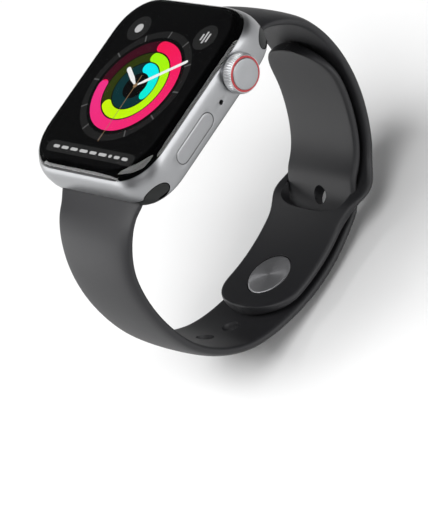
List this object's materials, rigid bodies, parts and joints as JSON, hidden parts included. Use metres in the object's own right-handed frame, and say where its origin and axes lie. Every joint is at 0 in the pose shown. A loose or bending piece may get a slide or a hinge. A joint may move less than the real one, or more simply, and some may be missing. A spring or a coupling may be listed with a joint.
{
  "type": "smartwatch",
  "caption": "Rounded aluminium smartwatch with a curved glass front, a turning and pressing crown, a side button and a pin-and-tuck rubber strap closed in a loop.",
  "frame": {"origin": "middle of the small flat on the rear crystal, which rests on the wrist or a charger", "axes": "+Z out of the display, +Y to twelve o'clock, +X to the crown side"},
  "size_m": [0.0406, 0.0698, 0.0602],
  "materials": {
    "case_aluminium": "bead-blasted and anodised silver",
    "front_glass": "polished, black behind",
    "rear_glass": "polished dome",
    "rear_ceramic": "polished black ceramic",
    "display": "black lit panel",
    "seal_rubber": "matt",
    "sensor_window": "polished",
    "copper": "wound and varnished",
    "magnet": "nickel plated",
    "ferrite": "matt sheet",
    "circuit_board": "solder mask",
    "shield_can": "satin",
    "battery_wrap": "foil pouch",
    "black_plastic": "moulded",
    "steel": "satin",
    "spring_steel": "satin",
    "tungsten": "ground",
    "crown_aluminium": "knurled, anodised silver",
    "crown_cap": "satin flat",
    "crown_red": "anodised red",
    "strap_rubber": "smooth matt fluoroelastomer",
    "lug_black": "matt dark coating",
    "closure_steel": "turned, circular brushing"
  },
  "bodies": {
    "case": {"case_housing": "case_aluminium", "front_crystal": "front_glass", "display_panel": "display", "display_gasket": "seal_rubber", "rear_cover": "rear_ceramic", "rear_gasket": "seal_rubber", "rear_crystal": "rear_glass", "optical_sensor": "sensor_window", "charging_coil": "copper", "alignment_magnet": "magnet", "ferrite_shield": "ferrite", "sensor_board": "circuit_board", "battery": "battery_wrap", "main_board": "circuit_board", "system_package": "shield_can", "board_screw_1": "steel", "board_screw_2": "steel", "board_screw_3": "steel", "board_screw_4": "steel", "speaker_module": "black_plastic", "speaker_mesh": "steel", "microphone": "shield_can", "microphone_mesh": "black_plastic", "haptic_tray": "steel", "haptic_coil": "copper", "haptic_spring_left": "spring_steel", "haptic_spring_right": "spring_steel", "haptic_lid": "steel", "crown_bushing": "steel", "crown_switch": "black_plastic", "crown_encoder": "black_plastic", "side_button_switch": "black_plastic"},
    "haptic_weight": {"haptic_mass": "tungsten"},
    "crown_slider": {"crown_shear_plate": "spring_steel"},
    "crown": {"crown_shaft": "steel", "crown_wheel": "crown_aluminium", "crown_ring": "crown_red", "crown_face": "crown_cap", "crown_o_ring": "seal_rubber"},
    "side_button": {"side_button_cap": "case_aluminium", "side_button_plunger": "steel", "side_button_seal": "seal_rubber"},
    "release_lower": {"band_release_lower": "case_aluminium"},
    "release_upper": {"band_release_upper": "case_aluminium"},
    "band": {"lug_lower": "lug_black", "lug_upper": "lug_black", "strap_long": "strap_rubber", "strap_short": "strap_rubber", "closure_disc": "closure_steel", "closure_pin": "closure_steel", "latch_spring_lower": "spring_steel", "latch_spring_upper": "spring_steel"},
    "latch_lower": {"latch_pin_lower": "steel"},
    "latch_upper": {"latch_pin_upper": "steel"}
  },
  "joints": [
    {"name": "crown_press", "type": "slide", "parent": "case", "child": "crown_slider", "axis": [-1, 0, 0], "range_m": [0, 0.00025], "stiffness_N_per_m": 8000},
    {"name": "crown_turn", "type": "hinge", "parent": "crown_slider", "child": "crown", "pos_m": [0.0185, 0.0092, 0.0052], "axis": [1, 0, 0], "continuous": true},
    {"name": "side_button_press", "type": "slide", "parent": "case", "child": "side_button", "axis": [-1, 0, 0], "range_m": [0, 0.0003], "stiffness_N_per_m": 8000},
    {"name": "release_lower_press", "type": "slide", "parent": "case", "child": "release_lower", "axis": [0, 0, 1], "range_m": [0, 0.0006], "stiffness_N_per_m": 2500},
    {"name": "release_upper_press", "type": "slide", "parent": "case", "child": "release_upper", "axis": [0, 0, 1], "range_m": [0, 0.0006], "stiffness_N_per_m": 2500},
    {"name": "band_slide", "type": "slide", "parent": "case", "child": "band", "axis": [1, 0, 0], "range_m": [-0.037, 0.037]},
    {"name": "latch_lower_retract", "type": "slide", "parent": "band", "child": "latch_lower", "axis": [0, 0, 1], "range_m": [0, 0.0006], "deforming": ["latch_spring_lower"]},
    {"name": "latch_upper_retract", "type": "slide", "parent": "band", "child": "latch_upper", "axis": [0, 0, 1], "range_m": [0, 0.0006], "deforming": ["latch_spring_upper"]},
    {"name": "haptic_shake", "type": "slide", "parent": "case", "child": "haptic_weight", "axis": [1, 0, 0], "range_m": [-0.0003, 0.0003], "stiffness_N_per_m": 1300, "deforming": ["haptic_spring_left", "haptic_spring_right"]}
  ],
  "couplings": [
    {"joint": "latch_lower_retract", "follows": "release_lower_press", "ratio": 1},
    {"joint": "latch_upper_retract", "follows": "release_upper_press", "ratio": 1}
  ]
}
